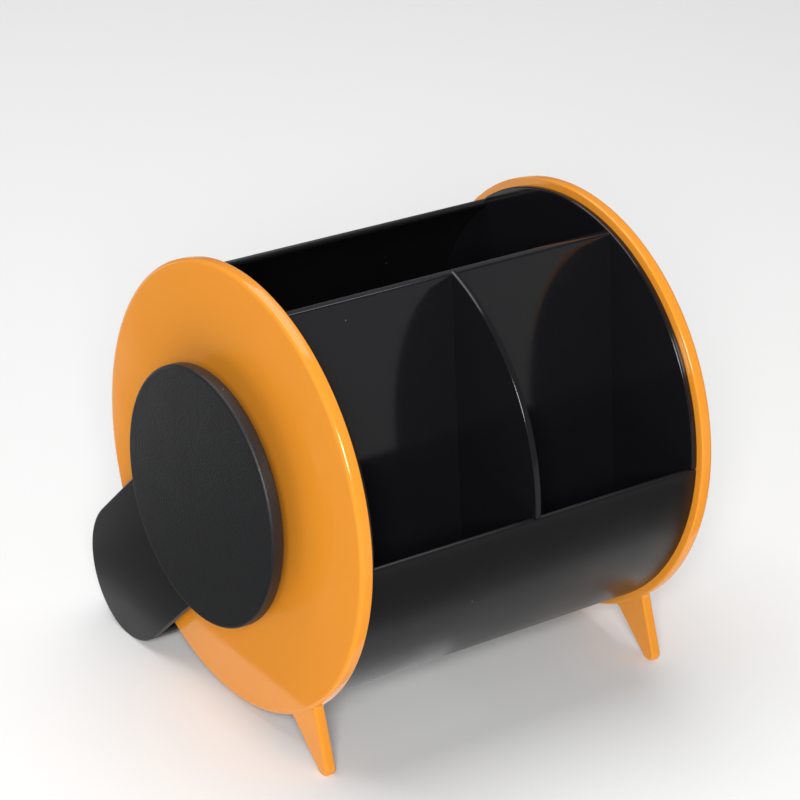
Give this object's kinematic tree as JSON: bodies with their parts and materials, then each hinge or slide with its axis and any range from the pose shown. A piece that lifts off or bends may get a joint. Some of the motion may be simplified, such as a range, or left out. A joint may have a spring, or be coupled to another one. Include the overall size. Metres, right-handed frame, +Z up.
{
  "type": "desk organizer",
  "caption": "Drum-shaped desk organizer: a black drum with open compartments between round orange ends with front feet, on a hinged rear stand.",
  "frame": {"origin": "on the desk, at the middle of the footprint (bottom centre of the bounding box)", "axes": "+X along the drum's axis towards the right-hand disc as seen from the front, +Y to the rear where the stand is, +Z up"},
  "size_m": [0.1294, 0.1226, 0.1226],
  "materials": {
    "satin_black": "satin moulded ABS",
    "gloss_black": "glossy moulded polystyrene",
    "matt_black": "fine-textured moulded ABS",
    "hub_black": "moulded acetal",
    "orange": "glossy moulded ABS",
    "washer_white": "nylon",
    "zinc_steel": "zinc-plated screws"
  },
  "bodies": {
    "drum_unit": {"drum_shell": "satin_black", "mid_partition": "gloss_black", "front_divider": "gloss_black", "disc_screws": "zinc_steel", "hub_screws": "zinc_steel", "left_end_wall": "gloss_black", "left_disc": "orange", "left_hub": "hub_black", "left_friction_washer": "washer_white", "left_cap": "matt_black", "right_end_wall": "gloss_black", "right_disc": "orange", "right_hub": "hub_black", "right_friction_washer": "washer_white", "right_cap": "matt_black"},
    "stand": {"left_stand_arm": "satin_black", "right_stand_arm": "satin_black", "rear_trough": "satin_black"}
  },
  "joints": [
    {"name": "stand_hinge", "type": "hinge", "parent": "drum_unit", "child": "stand", "pos_m": [0, -0.00131, 0.06262], "axis": [1, 0, 0], "range_deg": [-52, 250]}
  ]
}
